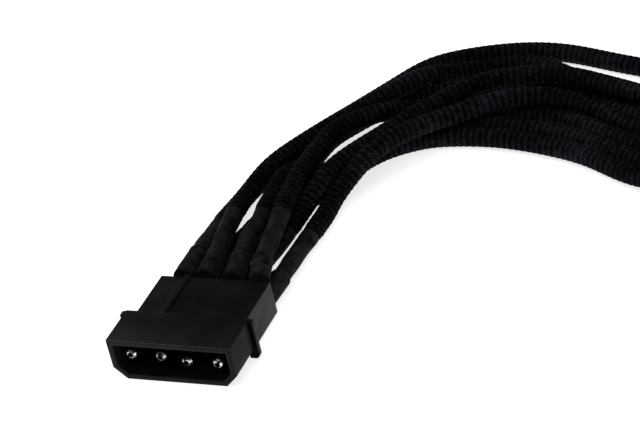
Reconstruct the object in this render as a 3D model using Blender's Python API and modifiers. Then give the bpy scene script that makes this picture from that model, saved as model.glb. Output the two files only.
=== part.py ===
"""Four-pin drive-power splitter: one shrouded pin connector feeding two socket connectors.

Each of the four pin contacts carries two braided-sleeved wires, eight in all, with a
two-step heat-shrink at both ends of every wire. Metres, +Z up. The pin connector lies on
Z = 0 with its mating mouth towards -Y, and the wires leave it towards +Y.
"""

import bpy
import bmesh
import math
import numpy as np
from mathutils import Matrix, Vector

MM = 0.001

# Contact pattern, common to both genders
CONTACT_COUNT = 4
CONTACT_PITCH = 5.08 * MM
CONTACT_AXIS_HEIGHT = 4.0 * MM

# Shroud of the pin housing: a D-shaped tube with its two lower corners cut off
SHROUD_WIDTH = 22.6 * MM
SHROUD_HEIGHT = 7.75 * MM
SHROUD_LENGTH = 8.35 * MM
SHROUD_WALL = 1.0 * MM
KEY_CHAMFER_WIDTH = 2.2 * MM
KEY_CHAMFER_HEIGHT = 2.2 * MM
TOP_EDGE_CHAMFER = 0.3 * MM
CAVITY_DEPTH = 7.6 * MM

# Rear block of the pin housing, set in and set down from the shroud
REAR_LENGTH = 11.45 * MM
REAR_SIDE_STEP = 1.15 * MM
REAR_TOP_STEP = 1.1 * MM
REAR_BOTTOM_STEP = 0.5 * MM
REAR_EDGE_CHAMFER = 0.25 * MM

# Grip ears at the shroud's rear edge
EAR_THICKNESS = 1.0 * MM
EAR_REACH = 0.8 * MM
EAR_CORNER_RADIUS = 0.8 * MM
EAR_SETBACK = 0.1 * MM

# Raised rib along the rear block's top
RIB_OFFSET = -5.6 * MM
RIB_WIDTH = 0.9 * MM
RIB_HEIGHT = 0.55 * MM

# Pin contact
PIN_DIAMETER = 2.1 * MM
PIN_BORE = 1.2 * MM
PIN_TIP_OPENING = 0.7 * MM
PIN_TIP_LENGTH = 1.3 * MM
PIN_TIP_RECESS = 1.0 * MM
PIN_SEAM_WIDTH = 0.22 * MM
PIN_HOLE_CLEARANCE = 0.2 * MM
WEB_THICKNESS = 2.2 * MM
CRIMP_GAP = 0.5 * MM
CRIMP_SHOULDER = 1.0 * MM
CRIMP_LENGTH = 4.0 * MM
CRIMP_WALL = 0.25 * MM
SLOT_CLEARANCE = 0.2 * MM

# Wire: insulated lead, braided sleeve and heat-shrink
LEAD_DIAMETER = 1.6 * MM
LEAD_SPREAD = 0.9 * MM
LEAD_CLEARANCE = 0.15 * MM
LEAD_INSERTION = 2.6 * MM
SLEEVE_DIAMETER = 3.4 * MM
SHRINK_WIDE_DIAMETER = 3.55 * MM
SHRINK_NARROW_DIAMETER = 3.2 * MM
SHRINK_WIDE_LENGTH = 7.0 * MM
SHRINK_STEP_LENGTH = 1.2 * MM
SHRINK_LENGTH = 19.5 * MM
SHRINK_STANDOFF = 0.8 * MM
TOUCH_GAP = 0.3 * MM
UPPER_LAYER_HEIGHT = 5.8 * MM
LOWER_LAYER_HEIGHT = 1.95 * MM

# Socket housing: a nose that enters the shroud, and a grip behind it
NOSE_CLEARANCE = 0.2 * MM
NOSE_LENGTH = 7.2 * MM
GRIP_LENGTH = 12.8 * MM
GROOVE_COUNT = 3
GROOVE_PITCH = 2.6 * MM
GROOVE_WIDTH = 1.2 * MM
GROOVE_DEPTH = 0.7 * MM
GROOVE_FIRST = 2.6 * MM
GROOVE_RISE = 0.2 * MM

# Socket contact
SOCKET_BORE_CLEARANCE = 0.05 * MM
SOCKET_WALL = 0.25 * MM
SOCKET_RECESS = 0.5 * MM
SOCKET_LENGTH = 8.0 * MM
SOCKET_HOLE_CLEARANCE = 0.2 * MM
SOCKET_WEB = 1.5 * MM
SOCKET_CRIMP_LENGTH = 3.6 * MM
SOCKET_SLOT_DIAMETER = 4.0 * MM

# Where the two socket connectors lie: rear face in X, centre line in Y
SOCKET_REAR_X = 128.0 * MM
SOCKET_A_CENTRE_Y = 72.0 * MM
SOCKET_B_CENTRE_Y = 42.0 * MM

ROUND_SIDES = 16
TIP_STEPS = 3
SLEEVE_POINT_SPACING = 1.5 * SLEEVE_DIAMETER
CUTTER_OVERRUN = 1.0 * MM
WELD_DISTANCE = 0.001 * MM

HOUSING_LENGTH = SHROUD_LENGTH + REAR_LENGTH
SOCKET_HOUSING_LENGTH = NOSE_LENGTH + GRIP_LENGTH
REAR_Y = 0.5 * HOUSING_LENGTH

# Routes of the eight wires in millimetres, from the pin connector's rear to a socket
# connector's rear, chosen by hand: out of the connector, down to the surface, round to the
# right, with low humps where one wire passes over another. The first and last point of
# each are added from the connectors' own places.
ROUTES = {
    "1_upper": [
        (-7.0, 16.4, 5.9), (-7.6, 20.9, 5.2), (-8.2, 26.2, 4.0), (-9.0, 31.7, 2.8),
        (-9.2, 36.6, 2.0), (-8.5, 44.7, 1.8), (-5.7, 55.2, 1.7), (-1.7, 64.2, 1.7),
        (1.4, 69.4, 1.7), (4.3, 75.1, 1.7), (7.2, 80.1, 1.7), (11.2, 86.4, 1.7),
        (16.5, 89.9, 1.7), (22.4, 91.9, 1.7), (28.6, 93.0, 1.7), (36.8, 92.6, 1.7),
        (45.4, 90.2, 1.7), (52.0, 88.3, 1.7), (70.7, 83.5, 1.8), (90.5, 80.5, 1.8),
        (107.0, 79.6, 3.2),
    ],
    "2_upper": [
        (-3.3, 17.7, 5.9), (-4.5, 24.9, 6.1), (-5.2, 29.0, 5.9), (-5.9, 33.5, 5.7),
        (-6.0, 37.8, 5.7), (-4.9, 45.1, 5.9), (-2.7, 52.7, 5.9), (1.2, 60.3, 5.5),
        (5.5, 66.2, 5.7), (10.5, 72.1, 5.9), (14.0, 78.1, 5.0), (17.0, 82.8, 3.0),
        (21.5, 85.8, 2.0), (27.7, 87.8, 1.8), (32.9, 87.8, 1.8), (36.9, 86.2, 1.7),
        (41.5, 83.3, 1.7), (46.1, 80.4, 1.7), (50.7, 78.0, 1.7), (55.7, 75.8, 1.7),
        (73.1, 73.1, 1.8), (91.6, 73.9, 1.8), (107.0, 74.5, 3.2),
    ],
    "3_upper": [
        (1.6, 16.7, 5.8), (0.5, 23.1, 6.1), (0.4, 27.9, 6.0), (-0.3, 31.8, 5.8),
        (-0.6, 36.2, 5.6), (-1.2, 43.5, 5.0), (-0.7, 52.5, 2.6), (0.3, 59.6, 1.7),
        (3.4, 65.6, 1.7), (6.6, 70.3, 1.7), (10.7, 74.3, 1.7), (16.5, 77.4, 1.7),
        (23.6, 78.5, 1.7), (30.7, 78.4, 1.7), (40.4, 78.0, 1.7), (48.3, 75.0, 1.7),
        (56.7, 71.4, 1.7), (73.8, 68.6, 1.8), (91.9, 68.9, 1.8), (107.0, 69.5, 3.2),
    ],
    "4_upper": [
        (5.7, 17.3, 5.9), (5.0, 23.2, 6.3), (3.9, 30.0, 6.5), (2.8, 38.0, 6.4),
        (2.5, 45.8, 6.2), (3.1, 50.9, 6.4), (3.8, 55.0, 6.2), (4.9, 58.7, 6.0),
        (6.6, 61.7, 5.5), (10.0, 65.0, 4.9), (13.7, 69.2, 3.3), (18.8, 71.8, 1.9),
        (25.7, 71.9, 1.7), (32.8, 71.4, 1.7), (42.8, 69.4, 1.7), (50.7, 66.0, 1.7),
        (59.0, 62.3, 1.7), (75.3, 56.8, 1.8), (92.6, 51.5, 1.8), (107.0, 49.6, 3.2),
    ],
    "1_lower": [
        (-6.2, 19.3, 1.9), (-4.0, 27.7, 1.7), (-2.0, 35.9, 1.7), (0.6, 44.3, 1.7),
        (4.3, 51.3, 1.7), (8.4, 58.7, 1.7), (13.9, 63.9, 1.7), (19.8, 66.8, 1.7),
        (27.3, 67.5, 1.7), (34.3, 66.6, 1.7), (44.2, 64.7, 1.7), (52.1, 61.3, 1.7),
        (60.2, 57.5, 1.7), (76.1, 49.4, 1.7), (93.0, 38.6, 1.9), (107.0, 34.4, 3.2),
    ],
    "2_lower": [
        (-1.8, 19.3, 2.0), (-0.0, 27.8, 1.8), (1.9, 35.9, 1.7), (5.0, 43.5, 1.7),
        (8.2, 50.7, 1.7), (12.2, 57.3, 1.7), (17.9, 61.3, 1.7), (22.1, 62.6, 1.7),
        (29.0, 63.1, 1.7), (36.3, 62.3, 1.8), (46.1, 59.8, 1.8), (53.0, 56.6, 1.9),
        (61.5, 51.9, 2.1), (77.0, 46.4, 4.6), (93.3, 41.2, 5.7), (107.0, 39.5, 3.2),
    ],
    "3_lower": [
        (3.2, 20.3, 2.2), (4.0, 26.1, 2.3), (4.7, 33.0, 2.9), (5.9, 38.5, 4.2),
        (6.9, 44.0, 5.2), (8.8, 49.7, 5.6), (12.1, 55.7, 5.8), (15.3, 61.7, 5.6),
        (20.0, 68.4, 5.6), (25.4, 74.8, 5.6), (31.5, 77.9, 5.5), (40.7, 78.8, 5.4),
        (48.4, 76.5, 5.4), (56.5, 73.3, 5.4), (73.7, 63.4, 5.6), (91.8, 49.8, 5.2),
        (107.0, 44.5, 3.2),
    ],
    "4_lower": [
        (8.1, 19.9, 2.0), (8.2, 26.6, 1.8), (8.5, 30.4, 1.8), (8.6, 33.9, 1.7),
        (8.7, 37.5, 1.7), (9.0, 40.8, 2.1), (9.7, 43.7, 2.7), (10.8, 46.4, 3.5),
        (13.3, 50.7, 4.5), (16.7, 56.2, 5.0), (21.3, 61.5, 5.4), (25.3, 65.3, 5.5),
        (29.6, 68.3, 5.7), (34.4, 70.7, 5.7), (43.0, 72.3, 4.3), (50.4, 70.1, 2.8),
        (58.2, 66.8, 2.1), (74.8, 63.9, 1.9), (92.3, 64.0, 1.8), (107.0, 64.4, 3.2),
    ],
}

# Socket connector and contact that each wire ends in
SOCKET_A_WIRES = {"1_upper": 1, "2_upper": 2, "3_upper": 3, "4_lower": 4}
SOCKET_B_WIRES = {"1_lower": 1, "2_lower": 2, "3_lower": 3, "4_upper": 4}


def clear_scene():
    for obj in list(bpy.data.objects):
        bpy.data.objects.remove(obj, do_unlink=True)


def new_collection(name):
    collection = bpy.data.collections.new(name)
    bpy.context.scene.collection.children.link(collection)
    return collection


def principled(name, colour, roughness, metallic=0.0):
    material = bpy.data.materials.new(name)
    material.use_nodes = True
    shader = material.node_tree.nodes["Principled BSDF"]
    shader.inputs["Base Color"].default_value = (*colour, 1.0)
    shader.inputs["Roughness"].default_value = roughness
    shader.inputs["Metallic"].default_value = metallic
    material.diffuse_color = (*colour, 1.0)
    return material


clear_scene()
PARTS = new_collection("four_pin_power_splitter")
CUTTERS = new_collection("cutters")
HOUSING_PLASTIC = principled("moulded_nylon_black", (0.016, 0.018, 0.020), 0.42)
TINNED_BRASS = principled("tin_plated_brass", (0.72, 0.71, 0.68), 0.28, 1.0)
BRAID = principled("braided_sleeve_black", (0.018, 0.018, 0.021), 0.6)
SHRINK = principled("heat_shrink_black", (0.030, 0.030, 0.033), 0.55)
INSULATION = principled("wire_insulation_black", (0.020, 0.020, 0.022), 0.45)


def add_mesh_object(name, mesh, frame, material=None):
    """Put a mesh, modelled in a connector's own frame, into the scene as a part or a cutter."""
    obj = bpy.data.objects.new(name, mesh)
    obj.matrix_world = frame
    if material is None:
        CUTTERS.objects.link(obj)
        obj.hide_render = True
        obj.display_type = 'WIRE'
    else:
        PARTS.objects.link(obj)
        mesh.materials.append(material)
    return obj


def mesh_from_curve(curve_object):
    """Evaluated curve as a mesh whose loose caps are welded on."""
    graph = bpy.context.evaluated_depsgraph_get()
    mesh = bpy.data.meshes.new_from_object(curve_object.evaluated_get(graph))
    bpy.data.objects.remove(curve_object, do_unlink=True)
    body = bmesh.new()
    body.from_mesh(mesh)
    bmesh.ops.remove_doubles(body, verts=body.verts, dist=WELD_DISTANCE)
    bmesh.ops.recalc_face_normals(body, faces=body.faces)
    body.to_mesh(mesh)
    body.free()
    return mesh


def prism_mesh(name, outline, start, end):
    """Outline in X and Z, extruded along Y from start to end."""
    curve = bpy.data.curves.new(name, 'CURVE')
    curve.dimensions = '2D'
    curve.fill_mode = 'BOTH'
    curve.extrude = 0.5 * (end - start)
    spline = curve.splines.new('POLY')
    spline.points.add(len(outline) - 1)
    for point, (x, z) in zip(spline.points, outline):
        point.co = (x, z, 0.0, 1.0)
    spline.use_cyclic_u = True
    curve_object = bpy.data.objects.new(name, curve)
    CUTTERS.objects.link(curve_object)
    bpy.context.view_layer.update()
    mesh = mesh_from_curve(curve_object)
    mesh.transform(Matrix.Translation((0.0, 0.5 * (start + end), 0.0)) @ Matrix.Rotation(math.pi / 2, 4, 'X'))
    return mesh


def cylinder_mesh(name, radius, start, end, x, z, sides=ROUND_SIDES):
    """Cylinder along Y."""
    body = bmesh.new()
    bmesh.ops.create_cone(body, cap_ends=True, segments=sides, radius1=radius, radius2=radius,
                          depth=end - start)
    mesh = bpy.data.meshes.new(name)
    body.to_mesh(mesh)
    body.free()
    mesh.transform(Matrix.Translation((x, 0.5 * (start + end), z)) @ Matrix.Rotation(math.pi / 2, 4, 'X'))
    return mesh


def box_mesh(name, low, high):
    body = bmesh.new()
    bmesh.ops.create_cube(body, size=1.0)
    size = Vector(high) - Vector(low)
    centre = 0.5 * (Vector(high) + Vector(low))
    bmesh.ops.scale(body, vec=size, verts=body.verts)
    bmesh.ops.translate(body, vec=centre, verts=body.verts)
    mesh = bpy.data.meshes.new(name)
    body.to_mesh(mesh)
    body.free()
    return mesh


def boolean(obj, operation, mesh, frame):
    """Join or cut a solid with a mesh given in the same connector frame."""
    cutter = add_mesh_object(mesh.name, mesh, frame)
    modifier = obj.modifiers.new(mesh.name, 'BOOLEAN')
    modifier.operation = operation
    modifier.solver = 'EXACT'
    modifier.object = cutter
    return cutter


def shade_round(obj, angle_degrees=40.0):
    obj.data.shade_smooth()
    obj.data.set_sharp_from_angle(angle=math.radians(angle_degrees))


def keyed_outline(width, low, high, chamfer_width, chamfer_height, top_chamfer=0.0):
    """Rectangle with its two lower corners cut off and a slight chamfer along its top edges."""
    half = 0.5 * width
    outline = [
        (-half + chamfer_width, low),
        (half - chamfer_width, low),
        (half, low + chamfer_height),
    ]
    if top_chamfer > 0.0:
        outline += [(half, high - top_chamfer), (half - top_chamfer, high)]
        outline += [(-half + top_chamfer, high), (-half, high - top_chamfer)]
    else:
        outline += [(half, high), (-half, high)]
    outline.append((-half, low + chamfer_height))
    return outline


def offset_key_chamfer(inset):
    """Corner cut that runs parallel to the shroud's own when the outline is moved in by inset."""
    slope_length = math.hypot(KEY_CHAMFER_WIDTH, KEY_CHAMFER_HEIGHT)
    shift = inset * (KEY_CHAMFER_WIDTH + KEY_CHAMFER_HEIGHT - slope_length)
    scale = 1.0 - shift / (KEY_CHAMFER_WIDTH * KEY_CHAMFER_HEIGHT)
    return KEY_CHAMFER_WIDTH * scale, KEY_CHAMFER_HEIGHT * scale


def obround_outline(half_width, half_height, centre_x, centre_z, arc_steps=8):
    """Upright slot with round ends."""
    straight = half_height - half_width
    outline = []
    for step in range(arc_steps + 1):
        angle = math.pi * step / arc_steps
        outline.append((centre_x + half_width * math.cos(angle),
                        centre_z + straight + half_width * math.sin(angle)))
    for step in range(arc_steps + 1):
        angle = math.pi + math.pi * step / arc_steps
        outline.append((centre_x + half_width * math.cos(angle),
                        centre_z - straight + half_width * math.sin(angle)))
    return outline


def contact_x(number):
    """Sideways place of contact 1 to 4 in the pin housing's frame."""
    return (number - 0.5 * (CONTACT_COUNT + 1)) * CONTACT_PITCH


# Sizes that follow from the driving ones
PIN_RADIUS = 0.5 * PIN_DIAMETER
LEAD_RADIUS = 0.5 * LEAD_DIAMETER
WEB_REAR = CAVITY_DEPTH + WEB_THICKNESS
CRIMP_START = WEB_REAR + CRIMP_GAP
CRIMP_END = CRIMP_START + CRIMP_LENGTH
CRIMP_HOLE_HALF_WIDTH = LEAD_RADIUS + LEAD_CLEARANCE
CRIMP_HOLE_HALF_HEIGHT = LEAD_SPREAD + LEAD_RADIUS + LEAD_CLEARANCE
CRIMP_HALF_WIDTH = CRIMP_HOLE_HALF_WIDTH + CRIMP_WALL
CRIMP_HALF_HEIGHT = CRIMP_HOLE_HALF_HEIGHT + CRIMP_WALL
SLOT_HALF_WIDTH = CRIMP_HALF_WIDTH + SLOT_CLEARANCE
SLOT_HALF_HEIGHT = CRIMP_HALF_HEIGHT + SLOT_CLEARANCE
SOCKET_BORE_RADIUS = PIN_RADIUS + SOCKET_BORE_CLEARANCE
SOCKET_RADIUS = SOCKET_BORE_RADIUS + SOCKET_WALL
SOCKET_HOLE_RADIUS = SOCKET_RADIUS + SOCKET_HOLE_CLEARANCE
SOCKET_CRIMP_START = SOCKET_RECESS + SOCKET_LENGTH + SOCKET_WEB + CRIMP_GAP
SOCKET_CRIMP_END = SOCKET_CRIMP_START + SOCKET_CRIMP_LENGTH
SOCKET_CRIMP_RADIUS = LEAD_RADIUS + LEAD_CLEARANCE + CRIMP_WALL


def build_pin_housing(frame):
    """Moulded housing with the D-shaped shroud, stepped rear block, ears, rib and four bays."""
    shroud = keyed_outline(SHROUD_WIDTH, 0.0, SHROUD_HEIGHT, KEY_CHAMFER_WIDTH, KEY_CHAMFER_HEIGHT,
                           TOP_EDGE_CHAMFER)
    housing = add_mesh_object("pin_housing", prism_mesh("shroud_body", shroud, 0.0, SHROUD_LENGTH),
                              frame, HOUSING_PLASTIC)

    rear_width = SHROUD_WIDTH - 2.0 * REAR_SIDE_STEP
    rear_top = SHROUD_HEIGHT - REAR_TOP_STEP
    rear = keyed_outline(rear_width, REAR_BOTTOM_STEP, rear_top, REAR_EDGE_CHAMFER, REAR_EDGE_CHAMFER,
                         REAR_EDGE_CHAMFER)
    rear_start = SHROUD_LENGTH - 2.0 * EAR_SETBACK
    boolean(housing, 'UNION', prism_mesh("rear_block", rear, rear_start, HOUSING_LENGTH), frame)

    for side in (-1.0, 1.0):
        boolean(housing, 'UNION', ear_mesh(side), frame)

    rib_low = (RIB_OFFSET - 0.5 * RIB_WIDTH, rear_start, rear_top - RIB_HEIGHT)
    rib_high = (RIB_OFFSET + 0.5 * RIB_WIDTH, HOUSING_LENGTH, rear_top + RIB_HEIGHT)
    boolean(housing, 'UNION', box_mesh("top_rib", rib_low, rib_high), frame)

    cavity_chamfer = offset_key_chamfer(SHROUD_WALL)
    cavity = keyed_outline(SHROUD_WIDTH - 2.0 * SHROUD_WALL, SHROUD_WALL, SHROUD_HEIGHT - SHROUD_WALL,
                           *cavity_chamfer)
    boolean(housing, 'DIFFERENCE', prism_mesh("mating_cavity", cavity, -CUTTER_OVERRUN, CAVITY_DEPTH), frame)

    for number in range(1, CONTACT_COUNT + 1):
        x = contact_x(number)
        hole = cylinder_mesh(f"pin_hole_{number}", PIN_RADIUS + PIN_HOLE_CLEARANCE,
                             CAVITY_DEPTH - CUTTER_OVERRUN, WEB_REAR + CRIMP_GAP, x, CONTACT_AXIS_HEIGHT)
        boolean(housing, 'DIFFERENCE', hole, frame)
        slot = obround_outline(SLOT_HALF_WIDTH, SLOT_HALF_HEIGHT, x, CONTACT_AXIS_HEIGHT)
        bay = prism_mesh(f"contact_bay_{number}", slot, WEB_REAR, HOUSING_LENGTH + CUTTER_OVERRUN)
        boolean(housing, 'DIFFERENCE', bay, frame)
    return housing


def ear_mesh(side):
    """Thin upright fin that stands out of one side, with a rounded lower corner."""
    inner = 0.5 * SHROUD_WIDTH - SHROUD_WALL
    outer = 0.5 * SHROUD_WIDTH + EAR_REACH
    centre_x = outer - EAR_CORNER_RADIUS
    low = KEY_CHAMFER_HEIGHT * 0.15
    high = SHROUD_HEIGHT - EAR_SETBACK
    outline = [(inner, high), (inner, KEY_CHAMFER_HEIGHT), (centre_x, low)]
    steps = 4
    for step in range(1, steps + 1):
        angle = -math.pi / 2 + math.pi / 2 * step / steps
        outline.append((centre_x + EAR_CORNER_RADIUS * math.cos(angle),
                        low + EAR_CORNER_RADIUS + EAR_CORNER_RADIUS * math.sin(angle)))
    outline += [(outer, high - TOP_EDGE_CHAMFER), (outer - TOP_EDGE_CHAMFER, high)]
    outline = [(side * x, z) for x, z in outline]
    name = "ear_right" if side > 0 else "ear_left"
    end = SHROUD_LENGTH - EAR_SETBACK
    return prism_mesh(name, outline, end - EAR_THICKNESS, end)


def turned_object(name, profile, frame, x, material):
    """Ring section in radius and Y, turned about the contact's axis by a Screw modifier."""
    mesh = bpy.data.meshes.new(name)
    body = bmesh.new()
    verts = [body.verts.new((radius, 0.0, -y)) for radius, y in profile]
    for index, vert in enumerate(verts):
        body.edges.new((vert, verts[(index + 1) % len(verts)]))
    body.to_mesh(mesh)
    body.free()
    axis = Matrix.Translation((x, 0.0, CONTACT_AXIS_HEIGHT)) @ Matrix.Rotation(math.pi / 2, 4, 'X')
    obj = add_mesh_object(name, mesh, frame @ axis, material)
    screw = obj.modifiers.new("turn", 'SCREW')
    screw.axis = 'Z'
    screw.steps = ROUND_SIDES
    screw.render_steps = ROUND_SIDES
    screw.use_merge_vertices = True
    screw.merge_threshold = WELD_DISTANCE
    screw.use_smooth_shade = True
    return obj


def pin_profile():
    """Rolled tubular pin with a rounded, slightly open tip and a plug end in the crimp's shoulder."""
    tip = PIN_TIP_RECESS
    opening = 0.5 * PIN_TIP_OPENING
    bore = 0.5 * PIN_BORE
    shoulder = CRIMP_START + 0.5 * CRIMP_SHOULDER
    profile = []
    for step in range(TIP_STEPS + 1):
        angle = math.pi / 2 * step / TIP_STEPS
        radius = opening + 0.1 * MM + (PIN_RADIUS - opening - 0.1 * MM) * math.sin(angle)
        profile.append((radius, tip + PIN_TIP_LENGTH * (1.0 - math.cos(angle))))
    profile.append((PIN_RADIUS, shoulder))
    profile.append((opening, shoulder))
    profile.append((opening, CRIMP_START - CRIMP_GAP))
    profile.append((bore, CRIMP_START - 2.0 * CRIMP_GAP))
    profile.append((bore, tip + PIN_TIP_LENGTH))
    profile.append((opening, tip + 0.4 * PIN_TIP_LENGTH))
    return profile


def build_pin_contact(number, frame):
    x = contact_x(number)
    contact = turned_object(f"pin_contact_{number}", pin_profile(), frame, x, TINNED_BRASS)
    outer = obround_outline(CRIMP_HALF_WIDTH, CRIMP_HALF_HEIGHT, x, CONTACT_AXIS_HEIGHT)
    boolean(contact, 'UNION', prism_mesh(f"crimp_{number}", outer, CRIMP_START, CRIMP_END), frame)
    inner = obround_outline(CRIMP_HOLE_HALF_WIDTH, CRIMP_HOLE_HALF_HEIGHT, x, CONTACT_AXIS_HEIGHT)
    pocket = prism_mesh(f"crimp_pocket_{number}", inner, CRIMP_START + CRIMP_SHOULDER,
                        CRIMP_END + CUTTER_OVERRUN)
    boolean(contact, 'DIFFERENCE', pocket, frame)
    seam_low = (x - 0.5 * PIN_SEAM_WIDTH, PIN_TIP_RECESS - CUTTER_OVERRUN, CONTACT_AXIS_HEIGHT)
    seam_high = (x + 0.5 * PIN_SEAM_WIDTH, CAVITY_DEPTH, CONTACT_AXIS_HEIGHT + PIN_DIAMETER)
    boolean(contact, 'DIFFERENCE', box_mesh(f"seam_{number}", seam_low, seam_high), frame)
    return contact


def tube(name, points, radii, material, bevel_resolution=2):
    """Round tube along a poly spline, with filled caps; radii give the radius at each point."""
    curve = bpy.data.curves.new(name, 'CURVE')
    curve.dimensions = '3D'
    curve.bevel_depth = MM
    curve.bevel_resolution = bevel_resolution
    curve.use_fill_caps = True
    spline = curve.splines.new('POLY')
    spline.points.add(len(points) - 1)
    for target, point, radius in zip(spline.points, points, radii):
        target.co = (*point, 1.0)
        target.radius = radius / MM
    curve.materials.append(material)
    obj = bpy.data.objects.new(name, curve)
    PARTS.objects.link(obj)
    return obj


def smooth_path(points, samples=600):
    """Natural cubic spline through the points, sampled densely, with its running length."""
    points = np.array(points, dtype=float)
    chords = np.linalg.norm(np.diff(points, axis=0), axis=1)
    knots = np.concatenate(([0.0], np.cumsum(np.sqrt(chords))))
    spans = np.diff(knots)
    count = len(points)
    system = np.eye(count)
    slopes = np.zeros((count, 3))
    for i in range(1, count - 1):
        system[i, i - 1] = spans[i - 1]
        system[i, i] = 2.0 * (spans[i - 1] + spans[i])
        system[i, i + 1] = spans[i]
        rise = (points[i + 1] - points[i]) / spans[i] - (points[i] - points[i - 1]) / spans[i - 1]
        slopes[i] = 6.0 * rise
    curvature = np.linalg.solve(system, slopes)
    dense = []
    for t in np.linspace(0.0, knots[-1], samples):
        i = min(int(np.searchsorted(knots, t, side='right')) - 1, count - 2)
        h = spans[i]
        a = (knots[i + 1] - t) / h
        b = (t - knots[i]) / h
        bend = ((a ** 3 - a) * curvature[i] + (b ** 3 - b) * curvature[i + 1]) * h * h / 6.0
        dense.append(a * points[i] + b * points[i + 1] + bend)
    dense = np.array(dense)
    lengths = np.concatenate(([0.0], np.cumsum(np.linalg.norm(np.diff(dense, axis=0), axis=1))))
    return dense, lengths


def points_at(path, distances):
    dense, lengths = path
    return [tuple(np.interp(distance, lengths, dense[:, axis]) for axis in range(3))
            for distance in distances]


def evenly(start, end, spacing):
    count = max(2, int(round((end - start) / spacing)) + 1)
    return list(np.linspace(start, end, count))


def build_shrink(name, path, from_far_end):
    """Two-step heat-shrink: a short wide part on the connector's side, then a narrower one."""
    stations = [0.0, 0.5 * SHRINK_WIDE_LENGTH, SHRINK_WIDE_LENGTH]
    radii = [0.5 * SHRINK_WIDE_DIAMETER] * 3
    narrow_start = SHRINK_WIDE_LENGTH + SHRINK_STEP_LENGTH
    for distance in evenly(narrow_start, SHRINK_LENGTH, 4.0 * MM):
        stations.append(distance)
        radii.append(0.5 * SHRINK_NARROW_DIAMETER)
    if from_far_end:
        total = path[1][-1]
        stations = [total - distance for distance in stations]
    return tube(name, points_at(path, stations), radii, SHRINK, bevel_resolution=3)


def build_sleeved_wire(label, path):
    start = SHRINK_LENGTH + TOUCH_GAP
    end = path[1][-1] - SHRINK_LENGTH - TOUCH_GAP
    distances = evenly(start, end, SLEEVE_POINT_SPACING)
    radii = [0.5 * SLEEVE_DIAMETER] * len(distances)
    return tube(f"sleeved_wire_{label}", points_at(path, distances), radii, BRAID)


def build_lead(name, frame, x, inner_start, inner_height, rear_end, outer_height):
    """Insulated lead from its crimp to the heat-shrink just outside the housing."""
    turn = inner_start + LEAD_INSERTION + LEAD_DIAMETER
    knots = [
        (x, inner_start, inner_height),
        (x, turn, inner_height),
        (x, rear_end, outer_height),
    ]
    if abs(outer_height - inner_height) > TOUCH_GAP:
        middle = 0.5 * (turn + rear_end)
        knots.insert(2, (x, middle, inner_height + 0.5 * (outer_height - inner_height)))
    points = [frame @ Vector(knot) for knot in knots]
    return tube(name, points, [LEAD_RADIUS] * len(points), INSULATION)


def socket_frame(centre_y, flipped):
    """Socket connectors face +X; the second one lies upside down."""
    place = Matrix.Translation((SOCKET_REAR_X + SOCKET_HOUSING_LENGTH, centre_y, 0.0))
    turn = Matrix.Rotation(math.pi / 2, 4, 'Z')
    if not flipped:
        return place @ turn
    lift = Matrix.Translation((0.0, 0.0, SHROUD_HEIGHT))
    return place @ turn @ lift @ Matrix.Rotation(math.pi, 4, 'Y')


def socket_contact_x(number):
    """The socket housing faces the pin housing, so its contacts count the other way."""
    return -contact_x(number)


def build_socket_housing(label, frame):
    """Nose that fits the shroud's cavity, grooved grip behind it, four bores and four bays."""
    grip = keyed_outline(SHROUD_WIDTH, 0.0, SHROUD_HEIGHT, KEY_CHAMFER_WIDTH, KEY_CHAMFER_HEIGHT,
                         TOP_EDGE_CHAMFER)
    housing = add_mesh_object(f"socket_housing_{label}",
                              prism_mesh(f"grip_{label}", grip, NOSE_LENGTH, SOCKET_HOUSING_LENGTH),
                              frame, HOUSING_PLASTIC)
    inset = SHROUD_WALL + NOSE_CLEARANCE
    nose = keyed_outline(SHROUD_WIDTH - 2.0 * inset, inset, SHROUD_HEIGHT - inset, *offset_key_chamfer(inset))
    boolean(housing, 'UNION', prism_mesh(f"nose_{label}", nose, 0.0, NOSE_LENGTH + CUTTER_OVERRUN), frame)

    bore_end = SOCKET_CRIMP_START - CRIMP_GAP
    for number in range(1, CONTACT_COUNT + 1):
        x = socket_contact_x(number)
        bore = cylinder_mesh(f"bore_{label}_{number}", SOCKET_HOLE_RADIUS, -CUTTER_OVERRUN,
                             bore_end + CRIMP_GAP, x, CONTACT_AXIS_HEIGHT)
        boolean(housing, 'DIFFERENCE', bore, frame)
        bay = cylinder_mesh(f"bay_{label}_{number}", 0.5 * SOCKET_SLOT_DIAMETER, bore_end,
                            SOCKET_HOUSING_LENGTH + CUTTER_OVERRUN, x, CONTACT_AXIS_HEIGHT)
        boolean(housing, 'DIFFERENCE', bay, frame)

    half = 0.5 * SHROUD_WIDTH
    for side in (-1.0, 1.0):
        for index in range(GROOVE_COUNT):
            start = NOSE_LENGTH + GROOVE_FIRST + index * GROOVE_PITCH
            sides = sorted((side * (half - GROOVE_DEPTH), side * (half + CUTTER_OVERRUN)))
            low = (sides[0], start, KEY_CHAMFER_HEIGHT + GROOVE_RISE)
            high = (sides[1], start + GROOVE_WIDTH, SHROUD_HEIGHT + CUTTER_OVERRUN)
            groove = box_mesh(f"groove_{label}_{int(side)}_{index}", low, high)
            boolean(housing, 'DIFFERENCE', groove, frame)
    return housing


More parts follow.
